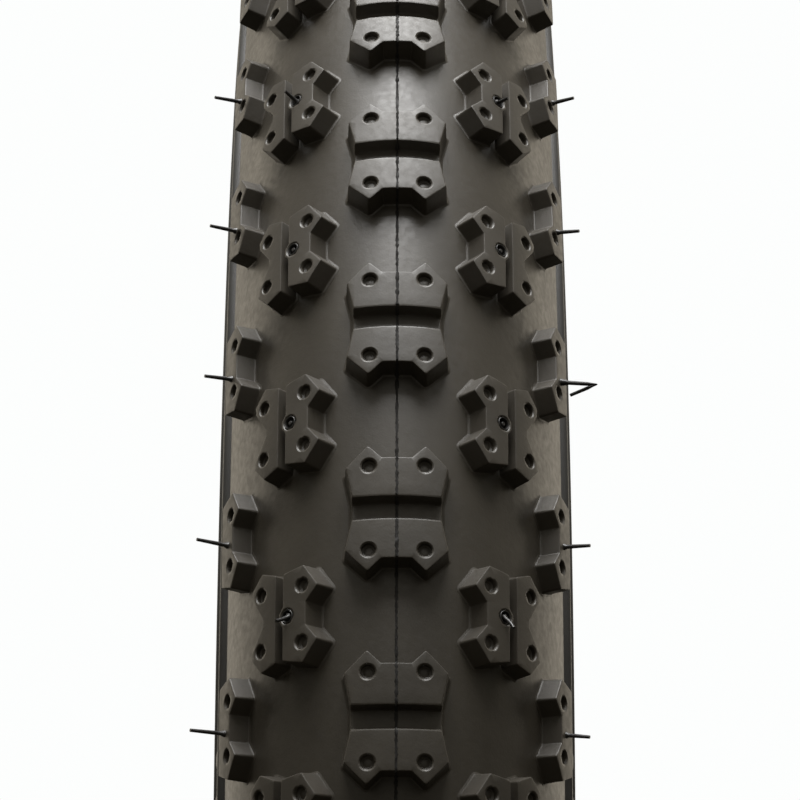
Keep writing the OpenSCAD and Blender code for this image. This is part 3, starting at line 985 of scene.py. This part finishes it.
def floor():
    """A pale floor. It glows, so that it stays pale far off, but throws no light on the tyre."""
    half = 3.2
    cells = 8
    z = cad_low.z - 0.0005      # just below the lowest point
    verts = [(-half + 2 * half * i / cells, -half + 2 * half * j / cells, z)
             for i in range(cells + 1) for j in range(cells + 1)]
    n = cells + 1
    faces = [(i * n + j, (i + 1) * n + j, (i + 1) * n + j + 1, i * n + j + 1)
             for i in range(cells) for j in range(cells)]
    obj = new_object("floor", verts, faces)
    mat, nodes, links, shader = material("floor_paint")
    place = nodes.new("ShaderNodeTexCoord").outputs["Object"]
    cloud = noise(nodes, links, place, 3)
    colour = ramp(nodes, links, cloud, (0.3, (0.60, 0.60, 0.59)), (0.7, (0.63, 0.63, 0.62)))
    links.new(colour, shader.inputs["Base Color"])
    shader.inputs["Roughness"].default_value = 0.8
    links.new(colour, shader.inputs["Emission Color"])
    shader.inputs["Emission Strength"].default_value = 0.75
    obj.data.materials.append(mat)
    obj.visible_diffuse = False
    obj.visible_glossy = False


def area(name, place, target, size, power, colour=(1, 1, 1)):
    """A soft rectangular lamp that the camera doesn't see."""
    light = bpy.data.lights.new(name, "AREA")
    light.shape = "RECTANGLE"
    light.size, light.size_y = size
    light.energy = power
    light.color = colour
    obj = bpy.data.objects.new(name, light)
    bpy.context.scene.collection.objects.link(obj)
    obj.location = place
    obj.rotation_euler = (Vector(target) - Vector(place)).to_track_quat("-Z", "Y").to_euler()
    obj.visible_camera = False


WARM = (1, 0.9, 0.74)


def lights():
    """A softbox above, a warm one behind each side, and a sky that is brighter overhead than low down."""
    area("top_softbox", (0.1, 0, 1.5), (0.1, 0, 0.2), (1.2, 0.8), 44)
    for name, side in SIDES.items():
        area("side_softbox_" + name, (-1.4, side * 1.4, 0.1), (0, 0, 0.1), (1.6, 1.8), 13.5, WARM)
    world = bpy.data.worlds.new("studio")
    bpy.context.scene.world = world
    world.use_nodes = True
    nodes, links = world.node_tree.nodes, world.node_tree.links
    seen = nodes["Background"]
    seen.inputs["Color"].default_value = (0.98, 0.99, 0.985, 1)
    fill = nodes.new("ShaderNodeBackground")
    up = nodes.new("ShaderNodeSeparateXYZ")
    links.new(nodes.new("ShaderNodeTexCoord").outputs["Generated"], up.inputs["Vector"])
    sky = ramp(nodes, links, up.outputs["Z"], (0.0, (0.08, 0.072, 0.056)), (0.4, (0.23, 0.215, 0.18)),
               (0.8, (0.66, 0.63, 0.57)), (1.0, (1.0, 0.98, 0.93)))
    links.new(sky, fill.inputs["Color"])
    rays = nodes.new("ShaderNodeLightPath")
    mix = nodes.new("ShaderNodeMixShader")
    links.new(rays.outputs["Is Camera Ray"], mix.inputs["Fac"])
    links.new(fill.outputs["Background"], mix.inputs[1])
    links.new(seen.outputs["Background"], mix.inputs[2])
    links.new(mix.outputs["Shader"], nodes["World Output"].inputs["Surface"])


def camera():
    """In front of the tyre, 7 degrees above the axle, and close, with a long lens."""
    data = bpy.data.cameras.new("camera")
    data.sensor_width = 36
    data.lens = 183.5
    obj = bpy.data.objects.new("camera", data)
    bpy.context.scene.collection.objects.link(obj)
    reach, rise, aside = 3.4125 * (SEAT_R + SECTION_H), math.radians(7.0365), -3.15 * MM
    obj.location = (reach * math.cos(rise), aside, reach * math.sin(rise))
    pitch, yaw, roll = math.radians(0.672), math.radians(0.32), math.radians(0.25)
    look = Vector((-math.cos(pitch) * math.cos(yaw), math.cos(pitch) * math.sin(yaw), math.sin(pitch)))
    turn = look.to_track_quat("-Z", "Y").to_matrix() @ Matrix.Rotation(roll, 3, "Z")
    obj.rotation_euler = turn.to_euler()
    data.clip_start, data.clip_end = 0.01, 100
    bpy.context.scene.camera = obj


floor()
lights()
camera()
bpy.context.scene.view_settings.view_transform = "Standard"
